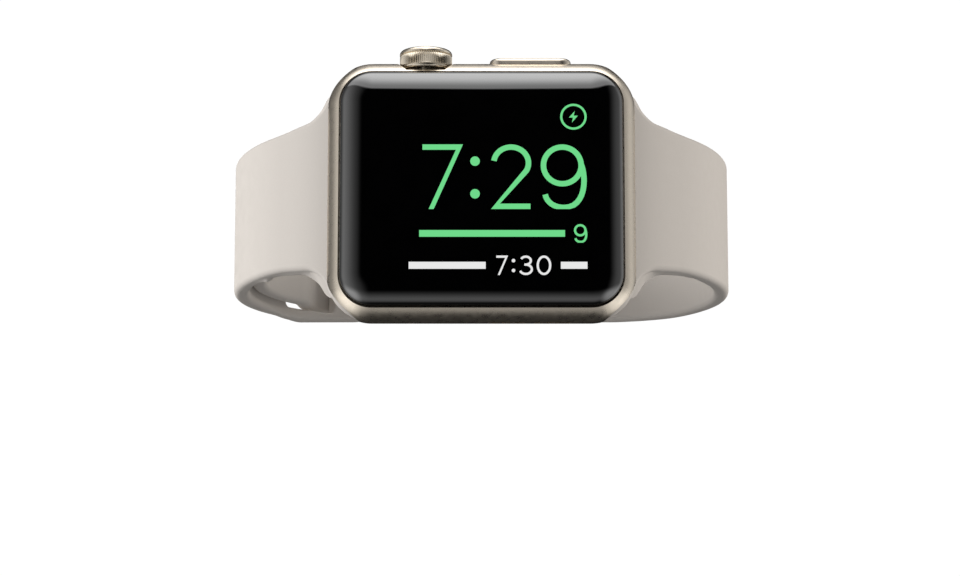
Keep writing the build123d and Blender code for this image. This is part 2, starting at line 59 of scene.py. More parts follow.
CROWN_X, CROWN_RADIUS, CROWN_FOOT_Z, CROWN_TOP_Z = -7.6, 3.6, 17.0, 19.8
CROWN_PIVOT = Vector((CROWN_X, 0.0, 18.0))
CROWN_ROUND, CROWN_FOOT_ROUND, SHAFT_CLEAR = 0.55, 0.3, 1.2
LIP_RADIUS, LIP_GROOVE_RADIUS, FOOT_LIP, OUTER_LIP = 3.5, 3.42, 0.42, 0.2
DISC_SEAT_RADIUS, DISC_SEAT_DEPTH = 2.52, 0.25
KNURLS, KNURL_DEPTH, KNURL_PROUD = 84, 0.085, -0.02
BUTTON_X, BUTTON_LENGTH, BUTTON_WIDTH, BUTTON_FOOT_Z, BUTTON_TOP_Z = 6.7, 11.1, 3.2, 16.9, 18.6
BUTTON_ROUND = 0.5

CHANNEL_X, CHANNEL_Y, LUG_RADIUS = 18.9, 0.5, 2.3
LUG_FLAT_X, LUG_FLAT_Y = 18.7, 2.2
POCKET_X, POCKET_Y, POCKET_HALF_Z = (16.95, 18.45), (0.2, 5.0), 2.7
LUG_CAP = ((1.0, 0.28), (0.97, 0.14), (0.9, 0.04), (0.8, 0.0), (0.55, 0.0), (0.25, 0.0))  # share of radius, inset
LUG_SHORT = 0.25  # how far each end stays inside the case
STRAP, STRAP_GAP, EDGE = 2.2, 0.25, 0.85
ROOT_REACH, ROOT_OUTER, ROOT_INNER = 9.0, 0.33, 0.5  # how the strap thickens towards the case
BEND_LENGTH, INTO_LUG = 14, 1.5  # the closely bent run beside the case, and how far it goes on into the end bar
LIFT = STRAP + STRAP_GAP
EXIT_X, EXIT_Y, EXIT_HEADING = 20.6, 0.9, 38.0
SIDE_X, TURN_RADIUS, TURN_HEADING = 34.9, 27.0, 150.0
HALF_WIDTH, TAIL_HALF_WIDTH = 9.75, 8.0
FLARE = (  # (x, half width) where a strap leaves the case
    (19.0, 14.6),
    (20.5, 13.8),
    (21.5, 12.2),
    (22.4, 11.3),
    (23.6, 10.55),
    (25.4, 10.2),
    (28.0, 9.85),
    (31.0, 9.75),
)
FLARE_END_Y = 12.0
# (x, half width) of each strap behind the flare
PIN_WIDTHS = ((-40.0, HALF_WIDTH), (-31.2, HALF_WIDTH), (-28.6, 10.25), (-14.0, 8.5), (0.0, 8.5))
LONG_WIDTHS = ((-40.0, TAIL_HALF_WIDTH), (-5.0, TAIL_HALF_WIDTH), (30.0, HALF_WIDTH), (40.0, HALF_WIDTH))
# distances along the loop from the middle of the rear, positive to the left
STUD_S, PIN_TIP_S, TAIL_TIP_S = 20.0, 14.4, 66.0
PIN_TIP_CORNER, TAIL_TIP_CORNER = 5.5, 7.0
RAMP_START_S, RAMP_END_S, DIVE_START_S, DIVE_END_S = 0.5, 8.8, 25.0, 34.0
WINDOW_START_S, WINDOW_END_S, WINDOW_GAP, WINDOW_CORNER = 24.3, 34.9, 0.35, 1.0
HOLE_PITCH, HOLE_RADIUS, HOLES_BEFORE, HOLES_AFTER = 8.5, 1.9, 4, 2
CUT_LIP = 0.3


def joint(name):
    return next(j for j in frame["joints"] if j["name"] == name)


def watch_to_row():
    """The crown turns about the watch's Z, and the latches press along its -Y."""
    up = Vector(joint("crown_spin")["axis"])
    back = -Vector(joint("left_latch_press")["axis"])
    turn = Matrix((back.cross(up), back, up)).transposed()
    origin = Vector(joint("crown_spin")["pos_m"]) - turn @ (CROWN_PIVOT * MM)
    return Matrix.Translation(origin) @ turn.to_4x4() @ Matrix.Scale(MM, 4)


TO_ROW = watch_to_row()


# ------------------------------------------------------------------ mesh tools


def piece(name, verts, faces, body, slot, material, smooth_angle=40.0):
    """A mesh given in watch millimetres, placed in the row and riding on a body."""
    mesh = bpy.data.meshes.new(name)
    mesh.from_pydata([TO_ROW @ Vector(v) for v in verts], [], faces)
    obj = bpy.data.objects.new(name, mesh)
    bpy.context.scene.collection.objects.link(obj)
    clean(mesh)
    mesh.materials.append(material)
    shade(mesh, smooth_angle)
    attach(obj, body)
    return obj


def clean(mesh):
    """Joins points in one place and turns every face outwards."""
    bm = bmesh.new()
    bm.from_mesh(mesh)
    bmesh.ops.remove_doubles(bm, verts=bm.verts, dist=1e-7)
    bmesh.ops.recalc_face_normals(bm, faces=bm.faces)
    bm.to_mesh(mesh)
    bm.free()


def shade(mesh, angle):
    mesh.shade_smooth()
    mesh.set_sharp_from_angle(angle=math.radians(angle))


def loft(rings, ends=(True, True)):
    """Quads between rings with the same number of points, closed at the ends."""
    count = len(rings[0])
    verts = [p for ring in rings for p in ring]
    faces = []
    for k in range(len(rings) - 1):
        for i in range(count):
            j = (i + 1) % count
            a, b = k * count, (k + 1) * count
            faces.append((a + i, a + j, b + j, b + i))
    if ends[0]:
        faces.append(tuple(range(count)))
    if ends[1]:
        last = (len(rings) - 1) * count
        faces.append(tuple(last + i for i in reversed(range(count))))
    return verts, faces


def rounded_outline(half_x, half_z, radius, steps=14, sides=10):
    """Points round a rounded rectangle, with the straight sides divided too."""
    centres = [(1, 1, 0), (-1, 1, 90), (-1, -1, 180), (1, -1, 270)]
    corners = []
    for sx, sz, start in centres:
        cx, cz = sx * (half_x - radius), sz * (half_z - radius)
        angles = [math.radians(start + 90 * k / steps) for k in range(steps + 1)]
        corners.append([(cx + radius * math.cos(a), cz + radius * math.sin(a)) for a in angles])
    points = []
    for k, corner in enumerate(corners):
        points += corner
        (ax, az), (bx, bz) = corner[-1], corners[(k + 1) % 4][0]
        points += [(ax + (bx - ax) * t / sides, az + (bz - az) * t / sides) for t in range(1, sides)]
    return points


# ------------------------------------------------------------------ materials


def new_material(name, colour, roughness, metallic=0.0, **sockets):
    """A Principled material with plain values on its own sockets."""
    material = bpy.data.materials.new(name)
    material.use_nodes = True
    shader = material.node_tree.nodes["Principled BSDF"]
    shader.inputs["Base Color"].default_value = (*colour, 1.0)
    shader.inputs["Roughness"].default_value = roughness
    shader.inputs["Metallic"].default_value = metallic
    for socket, value in sockets.items():
        shader.inputs[socket.replace("_", " ")].default_value = value
    return material


GRAIN_DETAIL = 3.0
GRAIN_LOW, GRAIN_HIGH = 0.3, 0.7  # the part of the noise's range that is used


def noise(material, scale):
    """Noise in object space, in features per metre."""
    nodes, links = material.node_tree.nodes, material.node_tree.links
    place = nodes.new("ShaderNodeTexCoord")
    texture = nodes.new("ShaderNodeTexNoise")
    texture.inputs["Scale"].default_value = scale
    texture.inputs["Detail"].default_value = GRAIN_DETAIL
    links.new(place.outputs["Object"], texture.inputs["Vector"])
    return texture.outputs["Fac"]


def vary(material, source, socket, low, high):
    """A number that follows a texture, from low to high."""
    nodes, links = material.node_tree.nodes, material.node_tree.links
    spread = nodes.new("ShaderNodeMapRange")
    spread.inputs["From Min"].default_value = GRAIN_LOW
    spread.inputs["From Max"].default_value = GRAIN_HIGH
    spread.inputs["To Min"].default_value = low
    spread.inputs["To Max"].default_value = high
    links.new(source, spread.inputs["Value"])
    links.new(spread.outputs["Result"], nodes["Principled BSDF"].inputs[socket])


def tint(material, source, dark, light):
    """A base colour that follows a texture, from dark to light."""
    nodes, links = material.node_tree.nodes, material.node_tree.links
    ramp = nodes.new("ShaderNodeValToRGB")
    ramp.color_ramp.elements[0].position = GRAIN_LOW
    ramp.color_ramp.elements[1].position = GRAIN_HIGH
    ramp.color_ramp.elements[0].color = (*dark, 1.0)
    ramp.color_ramp.elements[1].color = (*light, 1.0)
    links.new(source, ramp.inputs["Fac"])
    links.new(ramp.outputs["Color"], nodes["Principled BSDF"].inputs["Base Color"])


def bump(material, source, height):
    """Relief that follows a texture, height metres deep."""
    nodes, links = material.node_tree.nodes, material.node_tree.links
    node = nodes.new("ShaderNodeBump")
    node.inputs["Distance"].default_value = height
    node.inputs["Strength"].default_value = 1.0
    links.new(source, node.inputs["Height"])
    links.new(node.outputs["Normal"], nodes["Principled BSDF"].inputs["Normal"])


def scaled(colour, factor):
    return tuple(c * factor for c in colour)


def surface(name, colour, roughness, grain, metallic=0.0, spread=0.04, height=2e-6, **sockets):
    """A finish with a fine grain in its colour, roughness and relief."""
    material = new_material(name, colour, roughness, metallic, **sockets)
    fine = noise(material, grain)
    tint(material, fine, scaled(colour, 1 - spread), scaled(colour, 1 + spread))
    vary(material, noise(material, grain / 7), "Roughness", roughness * 0.85, roughness * 1.15)
    bump(material, fine, height)
    return material


GOLD = (0.80, 0.716, 0.60)
# A lighter copy of GOLD for the crown. The extra brightness is a painted highlight: the crown is the same
# aluminium as the case.
CROWN_PAINTED_HIGHLIGHT_GOLD = (0.94, 0.84, 0.69)
RUBBER = (0.60, 0.558, 0.515)

blasted_gold = surface("blasted_gold", GOLD, 0.30, 9000, metallic=1.0, spread=0.02, height=1e-7)
polished_gold = surface("polished_gold", GOLD, 0.14, 4000, metallic=1.0, spread=0.02, height=1e-7)
# The crown's finish: the case's gold made lighter, a painted highlight
crown_painted_highlight_gold = surface("crown_painted_highlight_gold", CROWN_PAINTED_HIGHLIGHT_GOLD, 0.26, 6000, metallic=1.0, spread=0.02, height=1e-7)
rubber = surface("stone_rubber", RUBBER, 0.52, 5000, spread=0.012, height=2.5e-6)
glass_black = surface("glass_black", (0.0012, 0.0012, 0.0014), 0.05, 300, spread=0.3, height=0.0, IOR=2.4)
back_black = surface("back_black", (0.012, 0.012, 0.013), 0.07, 900, spread=0.2, height=2e-7)
window_dark = surface("window_dark", (0.02, 0.012, 0.014), 0.04, 2500, spread=0.3, height=0.0)
dark_seal = surface("dark_seal", (0.02, 0.02, 0.02), 0.6, 5000, spread=0.2, height=3e-6)
steel = surface("bright_steel", (0.62, 0.62, 0.62), 0.25, 7000, metallic=1.0)
dark_plastic = surface("dark_plastic", (0.03, 0.03, 0.035), 0.4, 6000, spread=0.2)
board_green = surface("board_green", (0.02, 0.06, 0.035), 0.4, 3000, spread=0.3)
copper = surface("copper", (0.72, 0.34, 0.20), 0.3, 6000, metallic=1.0, spread=0.08)
mesh_black = surface("mesh_black", (0.05, 0.05, 0.05), 0.5, 20000, metallic=1.0, spread=0.5, height=2e-5)
amber = surface("amber_film", (0.35, 0.18, 0.04), 0.4, 3000, spread=0.1)
pale_pad = surface("pale_pad", (0.7, 0.69, 0.66), 0.7, 3000, spread=0.05)

SLOT_MATERIALS = {
    "satin_gold_aluminium": blasted_gold,
    "crown_aluminium": blasted_gold,
    "crown_disc": polished_gold,
    "closure_metal": polished_gold,
    "stone_rubber": rubber,
    "cover_glass": glass_black,
    "display": glass_black,
    "black_gasket": dark_seal,
    "back_composite": back_black,
    "window_glass": window_dark,
    "sensor_black": dark_plastic,
    "switch_body": dark_plastic,
    "battery_wrap": dark_plastic,
    "ferrite": dark_plastic,
    "circuit_board": board_green,
    "sensor_chip": board_green,
    "copper": copper,
    "mesh": mesh_black,
    "flex_ribbon": amber,
    "adhesive": pale_pad,
}


def glow(name, colour):
    """A lit part of the display."""
    return new_material(name, (0.0, 0.0, 0.0), 0.4, Emission_Color=(*colour, 1.0), Emission_Strength=1.0)


glow_green = glow("glow_green", (0.150, 0.690, 0.250))
glow_white = glow("glow_white", (0.80, 0.80, 0.80))


def finish_cad_nodes():
    """Gives each CAD node the material of its slot. Pins, springs, screws and shafts are steel."""
    slots = {s["node"]: s["material_slot"] for s in frame["record"]["subparts"]}
    for name, obj in frame["nodes"].items():
        obj.data.materials.clear()
        obj.data.materials.append(SLOT_MATERIALS.get(slots[name], steel))


# ------------------------------------------------------------------ glass and readout


def cover_glass():
    """Flat in the middle, with a border that curves down to the case."""
    half_x, half_z = CASE_X / 2 - RIM - GLASS_GAP, CASE_Z / 2 - RIM - GLASS_GAP
    corner = CASE_CORNER - RIM - GLASS_GAP
    levels = [(0.0, GLASS_SEAT_Y)]
    for k in range(19):
        a = math.radians(90 * k / 18)
        drop = GLASS_APEX_Y - GLASS_EDGE_Y
        levels.append((GLASS_DOME * (1 - math.cos(a)), GLASS_EDGE_Y + drop * math.sin(a)))
    rings = []
    for inset, y in levels:
        outline = rounded_outline(half_x - inset, half_z - inset, corner - inset)
        rings.append([(x, y, z) for x, z in outline])
    obj = piece("domed_glass", *loft(rings), "case", "cover_glass", glass_black)
    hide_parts("cover_glass")


def arc(cx, cz, rx, rz, start, end, steps=24):
    """Points on an ellipse, angles in degrees."""
    angles = [math.radians(start + (end - start) * k / steps) for k in range(steps + 1)]
    return [(cx + rx * math.cos(a), cz + rz * math.sin(a)) for a in angles]


def curve(*points, steps=12):
    """Points on one or more cubic curves that share their end points."""
    found = [points[0]]
    for k in range(0, len(points) - 3, 3):
        a, b, c, d = points[k : k + 4]
        for i in range(1, steps + 1):
            t = i / steps
            w = ((1 - t) ** 3, 3 * t * (1 - t) ** 2, 3 * t * t * (1 - t), t**3)
            found.append(tuple(sum(w[n] * p[axis] for n, p in enumerate((a, b, c, d))) for axis in (0, 1)))
    return found


# Each glyph: its width in digit heights, and its strokes in a unit box.
NINE_TAIL = ((0.915, 0.72), (1.05, 0.5), (1.04, -0.02), (0.5, -0.02), (0.27, -0.02), (0.08, 0.06), (0.04, 0.2))
GLYPHS = {
    "7": (0.65, [[(0, 1), (1, 1), (0.235, -0.08)]]),
    "2": (0.65, [arc(0.475, 0.73, 0.475, 0.27, 172, -28) + [(0, 0), (1, 0)]]),
    "9": (0.72, [arc(0.46, 0.69, 0.46, 0.31, 0, 360, 40), curve(*NINE_TAIL)]),
    "3": (0.72, [arc(0.48, 0.77, 0.42, 0.23, 155, -90) + [(0.36, 0.54)], arc(0.48, 0.27, 0.5, 0.27, 90, -160)]),
    "0": (0.74, [arc(0.5, 0.5, 0.5, 0.5, 0, 360, 40)]),
    ":": (0.20, []),
}
COLON_HEIGHTS = (0.235, 0.74)
COLON_DOT = 0.8  # dot radius in stroke widths
BAR = 0.36  # thickness of a bar in digit heights
SHARPEST_MITRE = 0.35


def ribbon(points, width):
    """The left and right edges of a flat stroke with mitred corners."""
    left, right = [], []
    for k, (x, z) in enumerate(points):
        before = Vector(points[max(k - 1, 0)])
        after = Vector(points[min(k + 1, len(points) - 1)])
        here = Vector((x, z))
        runs = [r.normalized() for r in (here - before, after - here) if r.length > 1e-6]
        normals = [Vector((-r.y, r.x)) for r in runs]
        mitre = sum(normals, Vector((0, 0))).normalized()
        reach = width / 2 / max(SHARPEST_MITRE, mitre.dot(normals[0]))
        left.append(here + mitre * reach)
        right.append(here - mitre * reach)
    return left, right


class Readout:
    """Collects flat shapes on the glass and makes one thin closed mesh of them."""

    FRONT, BACK = GLASS_APEX_Y - READOUT_PROUD, GLASS_APEX_Y + READOUT_SUNK

    def __init__(self):
        self.verts, self.faces = [], []

    def stroke(self, points, width, box=None):
        """A line of even width, kept inside box (left, right, foot, top) where one is given."""
        left, right = ribbon(points, width)
        if box:
            for p in left + right:
                p.x = min(box[1], max(box[0], p.x))
                p.y = min(box[3], max(box[2], p.y))
        closed = (Vector(points[0]) - Vector(points[-1])).length < 1e-4
        if closed:
            left[-1], right[-1] = left[0], right[0]
        rings = []
        for a, b in zip(left, right):
            front = [(a.x, self.FRONT, a.y), (b.x, self.FRONT, b.y)]
            rings.append(front + [(b.x, self.BACK, b.y), (a.x, self.BACK, a.y)])
        self.add(*loft(rings, (not closed, not closed)))

    def shape(self, outline):
        front = [(x, self.FRONT, z) for x, z in outline]
        back = [(x, self.BACK, z) for x, z in outline]
        self.add(*loft([front, back]))

    def add(self, verts, faces):
        start = len(self.verts)
        self.verts += verts
        self.faces += [tuple(start + i for i in face) for face in faces]

    def glyph(self, letter, left, wide, base, cap, width):
        """One digit from its left edge: wide across, cap high, in strokes of the given width."""
        strokes = GLYPHS[letter][1]
        inside_x, inside_z = wide - width, cap - width
        top = base + width + inside_z * max(1.0, *(v for points in strokes for _, v in points))
        for points in strokes:
            placed = [(left + width / 2 + u * inside_x, base + width / 2 + v * inside_z) for u, v in points]
            self.stroke(placed, width, (left, left + wide, base, top))

    def dots(self, x, base, cap, radius):
        """The two dots of a colon."""
        for height in COLON_HEIGHTS:
            self.shape(arc(x, base + height * cap, radius, radius, 0, 360, 24)[:-1])

    def number(self, text, left, base, cap, width, gap):
        """Digits and a colon in a row, from the left edge of the first."""
        x = left
        for letter in text:
            wide = GLYPHS[letter][0] * cap
            if letter == ":":
                self.dots(x + wide / 2, base, cap, width * COLON_DOT)
            else:
                self.glyph(letter, x, wide, base, cap, width)
            x += wide + gap

    def bar(self, left, right, base, cap):
        """A plain bar that stands in for a word."""
        self.stroke([(left, base + cap / 2), (right, base + cap / 2)], BAR * cap)

    def make(self, name, material):
        return piece(name, self.verts, self.faces, "case", "display", material, 20.0)


def readout():
    """The time, a charging sign, and two lines in which plain bars stand in for the words."""
    green, white, thin = Readout(), Readout(), 0.30
    time_base, time_cap, time_width = -3.25, 8.87, 0.74
    for letter, left, wide in (("7", -8.31, 5.82), ("2", 1.29, 5.66), ("9", 7.97, 6.26)):
        green.glyph(letter, left, wide, time_base, time_cap, time_width)
    green.dots(-0.86, time_base, time_cap, 0.65)
    date_base, date_cap = -7.84, 2.53
    green.bar(-8.34, 11.2, date_base, date_cap)
    green.number("9", 12.39, date_base, date_cap, thin, 0)
    alarm_base, alarm_cap = -12.24, 2.65
    white.bar(-9.73, 0.57, alarm_base, alarm_cap)
    white.number("7:30", 1.84, alarm_base, alarm_cap, thin, 0.46)
    white.bar(10.62, 14.18, alarm_base, alarm_cap)
    icon_x, icon_z, icon_radius = 12.41, 9.44, 1.64
    green.stroke(arc(icon_x, icon_z, icon_radius, icon_radius, 0, 360, 48), thin)
    bolt = [(0.18, 0.78), (-0.62, -0.12), (-0.06, -0.12), (-0.2, -0.8), (0.6, 0.14), (0.04, 0.14)]
    green.shape([(icon_x + x, icon_z + z) for x, z in bolt])
    green.make("readout_green", glow_green)
    white.make("readout_white", glow_white)


# ------------------------------------------------------------------ crown


def crown_profile():
    """(radius, z, knurled) up the crown: foot, lip, knurled side, lip, rounded rim and the disc's seat."""
    lip_low, lip_high = CROWN_FOOT_Z + FOOT_LIP, CROWN_TOP_Z - CROWN_ROUND - OUTER_LIP
    knurl_radius = CROWN_RADIUS + KNURL_PROUD
    foot_radius = LIP_RADIUS - CROWN_FOOT_ROUND
    foot = [(SHAFT_CLEAR, CROWN_FOOT_Z, 0), (foot_radius, CROWN_FOOT_Z, 0)]
    for a in (0.5, 1.0, 1.57):
        out, up = CROWN_FOOT_ROUND * math.sin(a), CROWN_FOOT_ROUND * (1 - math.cos(a))
        foot.append((foot_radius + out, CROWN_FOOT_Z + up, 0))
    side = [
        (LIP_RADIUS, lip_low - 0.04, 0),
        (LIP_GROOVE_RADIUS, lip_low, 0),
        (LIP_RADIUS, lip_low + 0.06, 1),
        (knurl_radius, lip_low + 0.16, 1),
        (knurl_radius, lip_high - 0.16, 1),
        (LIP_RADIUS, lip_high - 0.06, 1),
        (LIP_GROOVE_RADIUS, lip_high, 0),
        (LIP_RADIUS, lip_high + 0.05, 0),
        (CROWN_RADIUS, lip_high + 0.12, 0),
    ]
    rim = []
    for k in range(9):
        a = math.radians(90 * k / 8)
        inset = CROWN_ROUND * (1 - math.cos(a))
        rim.append((CROWN_RADIUS - inset, CROWN_TOP_Z - CROWN_ROUND + CROWN_ROUND * math.sin(a), 0))
    seat = [
        (DISC_SEAT_RADIUS + 0.04, CROWN_TOP_Z, 0),
        (DISC_SEAT_RADIUS, CROWN_TOP_Z - 0.03, 0),
        (DISC_SEAT_RADIUS, CROWN_TOP_Z - DISC_SEAT_DEPTH, 0),
        (SHAFT_CLEAR, CROWN_TOP_Z - DISC_SEAT_DEPTH, 0),
    ]
    return foot + side + rim + seat


def crown():
    """The knob, with a groove between each pair of knurls."""
    steps = KNURLS * 4
    rings = []
    for radius, z, knurled in crown_profile():
        ring = []
        for i in range(steps):
            a = 2 * math.pi * i / steps
            groove = knurled * KNURL_DEPTH * (0.5 - 0.5 * math.cos(KNURLS * a))
            ring.append((CROWN_X + (radius - groove) * math.cos(a), (radius - groove) * math.sin(a), z))
        rings.append(ring)
    # the knob takes the lighter crown gold, a painted highlight over the case's aluminium colour
    obj = piece("knurled_crown", *loft(rings), "crown", "crown_aluminium", crown_painted_highlight_gold, 50.0)
    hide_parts("crown_knob")


def side_button():
    """A flat bar whose outer edge is rounded over."""
    levels = [(0.0, BUTTON_FOOT_Z)]
    for k in range(9):
        a = math.radians(90 * k / 8)
        levels.append((BUTTON_ROUND * (1 - math.cos(a)), BUTTON_TOP_Z - BUTTON_ROUND * (1 - math.sin(a))))
    rings = []
    for inset, z in levels:
        radius = BUTTON_WIDTH / 2 - inset
        outline = rounded_outline(BUTTON_LENGTH / 2 - inset, radius, radius - 0.01)
        rings.append([(BUTTON_X + x, y, z) for x, y in outline])
    obj = piece("side_button_bar", *loft(rings), "side_button", "satin_gold_aluminium", blasted_gold)
    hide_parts("side_button")


# ------------------------------------------------------------------ strap shape


def smooth_step(t):
    t = min(1.0, max(0.0, t))
    return t * t * (3 - 2 * t)


def loop_arcs():
    """The left half of the loop from the rear: (start heading, end heading, centre x, centre y, radius)."""
    exit_angle, turn_angle = math.radians(EXIT_HEADING), math.radians(TURN_HEADING)
    side_radius = (SIDE_X - EXIT_X) / (1 - math.sin(exit_angle))
    side_y = EXIT_Y + side_radius * math.cos(exit_angle)
    rear_radius = (SIDE_X - TURN_RADIUS) / math.sin(turn_angle) + TURN_RADIUS
    rear_y = side_y + (rear_radius - TURN_RADIUS) * math.cos(turn_angle)
    return [
        (math.pi, turn_angle, 0.0, rear_y, rear_radius),
        (turn_angle, math.pi / 2, TURN_RADIUS - SIDE_X, side_y, TURN_RADIUS),
        (math.pi / 2, exit_angle, side_radius - SIDE_X, side_y, side_radius),
    ]


ARCS = loop_arcs()
HALF_LOOP = sum(radius * (start - end) for start, end, _, _, radius in ARCS)


def loop_point(s, offset=0.0):
    """The point at distance s along the loop (positive to the left) and offset mm outside it."""
    left = abs(s)
    for start, end, x, y, radius in ARCS:
        length = radius * (start - end)
        heading = start - min(left, length) / radius
        straight_on = max(0.0, left - length)
        if left <= length:
            break
        left -= length
    px = x - (radius + offset) * math.sin(heading) + straight_on * math.cos(heading)
    py = y - (radius + offset) * math.cos(heading) - straight_on * math.sin(heading)
    return Vector((px if s >= 0 else -px, py))


def long_layer(s):
    """How far outside the loop the long strap runs: above the other strap, then through it to the inside."""
    up = LIFT * smooth_step((s - RAMP_START_S) / (RAMP_END_S - RAMP_START_S))
    return up - 2 * LIFT * smooth_step((s - DIVE_START_S) / (DIVE_END_S - DIVE_START_S))


def pin_layer(s):
    """The strap with the pin stays on the loop."""
    return 0.0


def outward(s, layer):
    """Square to the strap at s, pointing out of the loop."""
    step = 0.02
    run = loop_point(s + step, layer(s + step)) - loop_point(s - step, layer(s - step))
    normal = Vector((run.y, -run.x)).normalized()
    away = loop_point(s, 1.0) - loop_point(s)
    return normal if normal.dot(away) > 0 else -normal


def flare(x):
    """Half width of the strap where it leaves the case, a smooth line through FLARE."""
    if x >= FLARE[-1][0]:
        return HALF_WIDTH
    if x <= FLARE[0][0]:
        return FLARE[0][1]
    k = next(k for k in range(len(FLARE) - 1) if x <= FLARE[k + 1][0])
    (x0, z0), (x1, z1) = FLARE[k], FLARE[k + 1]

    def slope(n):
        a, b = FLARE[max(n - 1, 0)], FLARE[min(n + 1, len(FLARE) - 1)]
        return (b[1] - a[1]) / (b[0] - a[0]) if n < len(FLARE) - 1 else 0.0

    t, wide = (x - x0) / (x1 - x0), x1 - x0
    h00, h10 = (1 + 2 * t) * (1 - t) ** 2, t * (1 - t) ** 2
    h01, h11 = t * t * (3 - 2 * t), t * t * (t - 1)
    return h00 * z0 + h10 * wide * slope(k) + h01 * z1 + h11 * wide * slope(k + 1)


def half_width(widths, x):
    """Half width at x, on straight lines between the given points, with their corners eased."""

    def straight(at):
        at = min(widths[-1][0], max(widths[0][0], at))
        (x0, z0), (x1, z1) = next(pair for pair in zip(widths, widths[1:]) if at <= pair[1][0])
        return z0 + (z1 - z0) * (at - x0) / (x1 - x0)

    samples = (-0.9, -0.3, 0.3, 0.9)
    return sum(straight(x + ease) for ease in samples) / len(samples)


def rounded_tip(width, to_tip, corner):
    """Half width near a tip whose corners are rounded off."""
    if to_tip >= corner:
        return width
    return width - corner + math.sqrt(max(0.0, corner**2 - (corner - to_tip) ** 2))


class Strap:
    """One strap along the loop, from the case to its tip."""

    def __init__(self, layer, widths, tip, corner):
        self.layer, self.widths, self.tip, self.corner = layer, widths, tip, corner

    def width(self, s, x, y):
        """Half width at s, where the strap's face is at x, y."""
        if y < FLARE_END_Y and abs(s - self.tip) > self.corner:
            return flare(abs(x))
        return rounded_tip(half_width(self.widths, x), abs(s - self.tip), self.corner)

    def ring(self, s, inset):
        """The rounded section at s. It thickens towards the case, and inset shrinks it at the tip."""
        near_case = 1 - smooth_step((HALF_LOOP - abs(s)) / ROOT_REACH)
        middle, normal = loop_point(s, self.layer(s)), outward(s, self.layer)
        outer = STRAP / 2 + ROOT_OUTER * near_case - inset
        inner = -STRAP / 2 - ROOT_INNER * near_case + inset
        edge = min(EDGE, (outer - inner) / 2 - 0.01)
        arcs = []
        for side, face, start in ((1, outer, 0), (-1, outer, 90), (-1, inner, 180), (1, inner, 270)):
            at = middle + normal * face
            cz = side * (self.width(s, at.x, at.y) - inset - edge)
            cv = face - edge if face == outer else face + edge
            angles = [math.radians(start + 90 * k / 6) for k in range(7)]
            arcs.append([(cz + edge * math.cos(a), cv + edge * math.sin(a)) for a in angles])
        ring = []
        for k, run in enumerate(arcs):
            ring += run
            (az, av), (bz, bv) = run[-1], arcs[(k + 1) % 4][0]
            count = 12 if k % 2 == 0 else 2
            ring += [(az + (bz - az) * t / count, av + (bv - av) * t / count) for t in range(1, count)]
        return [(middle.x + normal.x * v, middle.y + normal.y * v, z) for z, v in ring]


PIN_STRAP = Strap(pin_layer, PIN_WIDTHS, PIN_TIP_S, PIN_TIP_CORNER)
LONG_STRAP = Strap(long_layer, LONG_WIDTHS, TAIL_TIP_S, TAIL_TIP_CORNER)


def tip_stations(tip, inwards, corner):
    """(s, inset) from the tip inwards, close together where the outline turns quickly."""
    found = []
    for k in range(15):
        away = corner * (1 - math.cos(math.radians(90 * k / 14)))
        inset = EDGE - math.sqrt(max(0.0, EDGE**2 - (EDGE - min(away + 0.03, EDGE)) ** 2))
        found.append((tip + inwards * away, inset))
    return found


def spread(start, end, step):
    """Even stations from start to end, about step apart."""
    count = max(1, round(abs(end - start) / step))
    return [start + (end - start) * k / count for k in range(count + 1)]


# ------------------------------------------------------------------ strap cut-outs and lugs


def cutter(outline, layer, lip):
    """A plug through the strap that follows its bend, with rounded lips."""
    surface_at, past = STRAP / 2, 1.5
    levels = [(-surface_at - past, lip)]
    for k in range(5):
        a = math.radians(90 * k / 4)
        levels.append((-surface_at + lip * (1 - math.cos(a)), lip * (1 - math.sin(a))))
    levels += [(-v, grow) for v, grow in reversed(levels)]
    rings = []
    for v, grow in levels:
        ring = []
        for s, z, out_s, out_z in outline:
            p = loop_point(s + out_s * grow, layer(s + out_s * grow) + v)
            ring.append((p.x, p.y, z + out_z * grow))
        rings.append(ring)
    return loft(rings)


def round_hole(s, radius, steps=36):
    """Points round a hole at s, each with its outward direction."""
    angles = [2 * math.pi * k / steps for k in range(steps)]
    return [(s + radius * math.cos(a), radius * math.sin(a), math.cos(a), math.sin(a)) for a in angles]


def window_hole():
    """Points round the slot that the tail tucks through, each with its outward direction."""
    corner = WINDOW_CORNER
    half_s, half_z = (WINDOW_END_S - WINDOW_START_S) / 2, TAIL_HALF_WIDTH + WINDOW_GAP
    middle = (WINDOW_START_S + WINDOW_END_S) / 2
    inner = rounded_outline(half_s, half_z, corner, 6, 14)
    outer = rounded_outline(half_s + 1, half_z + 1, corner + 1, 6, 14)
    return [(middle + s, z, so - s, zo - z) for (s, z), (so, zo) in zip(inner, outer)]


def cut(obj, shapes):
    """Takes closed shapes, given in watch millimetres, out of a piece."""
    for verts, faces in shapes:
        mesh = bpy.data.meshes.new("cutter")
        mesh.from_pydata([TO_ROW @ Vector(v) for v in verts], [], faces)
        clean(mesh)
        tool = bpy.data.objects.new("cutter", mesh)
        bpy.context.scene.collection.objects.link(tool)
        modifier = obj.modifiers.new("cut", "BOOLEAN")
        modifier.operation = "DIFFERENCE"
        modifier.solver = "EXACT"
        modifier.object = tool
        bpy.context.view_layer.update()
        done = bpy.data.meshes.new_from_object(obj.evaluated_get(bpy.context.evaluated_depsgraph_get()))
        obj.modifiers.clear()
        obj.data = done
        bpy.data.objects.remove(tool)


def settle(obj, angle=35.0):
    """Flattens a soft piece where it rests on the table, and shades it."""
    for vertex in obj.data.vertices:
        vertex.co.z = max(vertex.co.z, 0.0)
    shade(obj.data, angle)
    modifier = obj.modifiers.new("normals", "WEIGHTED_NORMAL")
    modifier.keep_sharp = True


